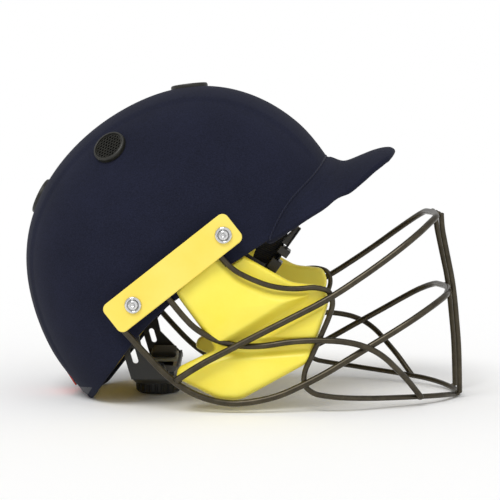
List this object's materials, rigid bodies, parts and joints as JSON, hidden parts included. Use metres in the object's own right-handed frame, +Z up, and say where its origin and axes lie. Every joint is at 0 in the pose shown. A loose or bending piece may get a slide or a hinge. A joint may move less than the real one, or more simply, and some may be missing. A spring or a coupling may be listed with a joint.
{
  "type": "cricket helmet",
  "caption": "Cloth-covered cricket helmet with a peak, a welded wire face grille, moulded cheek guards, a dial-adjusted nape cradle and a padded chin strap",
  "frame": {"origin": "centre of the bounding box in plan, on the plane the helmet rests on", "axes": "+X forwards over the peak, +Y to the wearer's left, +Z up"},
  "size_m": [0.339, 0.2084, 0.2433],
  "materials": {
    "shell_cloth": "twill cloth",
    "shell_plastic": "moulded",
    "binding_tape": "folded tape",
    "impact_foam": "moulded foam",
    "pad_cloth": "brushed knit",
    "red_patch": "moulded",
    "vent_plastic": "moulded",
    "plate_plastic": "moulded",
    "guard_plastic": "moulded",
    "bracket_steel": "pressed",
    "bolt_steel": "polished",
    "spacer_rubber": "moulded",
    "nut_steel": "zinc plated",
    "wire_coating": "dark pearl coating",
    "cradle_plastic": "moulded",
    "gear_plastic": "moulded",
    "screw_steel": "zinc plated",
    "webbing": "woven",
    "buckle_plastic": "moulded",
    "tab_plastic": "moulded",
    "chin_cloth": "brushed knit",
    "stud_plastic": "moulded"
  },
  "bodies": {
    "helmet": {"dome_cover": "shell_cloth", "hard_shell": "shell_plastic", "rim_binding": "binding_tape", "foam_liner": "impact_foam", "peak_core": "shell_plastic", "peak_cover": "shell_cloth", "vent_cap_top": "vent_plastic", "vent_cap_rear": "vent_plastic", "vent_cap_left": "vent_plastic", "vent_cap_right": "vent_plastic", "crown_pad": "pad_cloth", "brow_pad": "pad_cloth", "side_pad_left": "pad_cloth", "side_pad_right": "pad_cloth", "nape_pad": "pad_cloth", "nape_patch": "red_patch", "side_plate_left": "plate_plastic", "side_plate_right": "plate_plastic", "mount_bracket_left": "bracket_steel", "mount_bracket_right": "bracket_steel", "mount_spacers": "spacer_rubber", "mount_washers": "bolt_steel", "mount_bolts": "bolt_steel", "mount_nuts": "nut_steel", "top_bar": "wire_coating", "middle_bar": "wire_coating", "lower_loop": "wire_coating", "cheek_bar_left": "wire_coating", "cheek_bar_right": "wire_coating", "centre_bar_left": "wire_coating", "centre_bar_right": "wire_coating", "cheek_guard_left": "guard_plastic", "cheek_guard_right": "guard_plastic", "pivot_studs": "stud_plastic", "anchor_studs": "stud_plastic"},
    "cradle": {"cradle_frame": "cradle_plastic", "adjuster_cover": "cradle_plastic"},
    "dial": {"adjuster_knob": "cradle_plastic", "pinion": "gear_plastic", "knob_screw": "screw_steel"},
    "rack_left_body": {"rack_left": "gear_plastic", "band_pad_left": "pad_cloth"},
    "rack_right_body": {"rack_right": "gear_plastic", "band_pad_right": "pad_cloth"},
    "strap": {"strap_left": "webbing", "strap_right": "webbing", "buckle_socket": "buckle_plastic", "socket_web": "webbing", "chin_pad": "chin_cloth"},
    "plug": {"buckle_plug": "buckle_plastic", "strap_tail": "webbing", "strap_tab": "tab_plastic"},
    "slider": {"strap_slider": "buckle_plastic"}
  },
  "joints": [
    {"name": "cradle_tilt", "type": "hinge", "parent": "helmet", "child": "cradle", "pos_m": [-0.0845, 0, 0.055], "axis": [0, 1, 0], "range_deg": [-10, 4]},
    {"name": "dial_turn", "type": "hinge", "parent": "cradle", "child": "dial", "pos_m": [-0.069, 0, 0.012], "axis": [0, 0, 1], "range_deg": [-120, 50]},
    {"name": "rack_left_draw", "type": "hinge", "parent": "cradle", "child": "rack_left_body", "pos_m": [-0.069, 0, 0.1624], "axis": [1, 0, 0], "range_deg": [-5.7, 2.4]},
    {"name": "rack_right_draw", "type": "hinge", "parent": "cradle", "child": "rack_right_body", "pos_m": [-0.069, 0, 0.1624], "axis": [1, 0, 0], "range_deg": [-2.4, 5.7]},
    {"name": "strap_swing", "type": "hinge", "parent": "helmet", "child": "strap", "pos_m": [-0.014, 0, 0.116], "axis": [0, 1, 0], "range_deg": [-6, 12]},
    {"name": "buckle_release", "type": "slide", "parent": "strap", "child": "plug", "axis": [0.5807, 0, 0.8141], "range_m": [0, 0.016]},
    {"name": "slider_adjust", "type": "slide", "parent": "plug", "child": "slider", "axis": [0.5807, 0, 0.8141], "range_m": [-0.0038, 0.0017]}
  ],
  "couplings": [
    {"joint": "rack_left_draw", "follows": "dial_turn", "ratio": 0.04665},
    {"joint": "rack_right_draw", "follows": "dial_turn", "ratio": -0.04665}
  ]
}
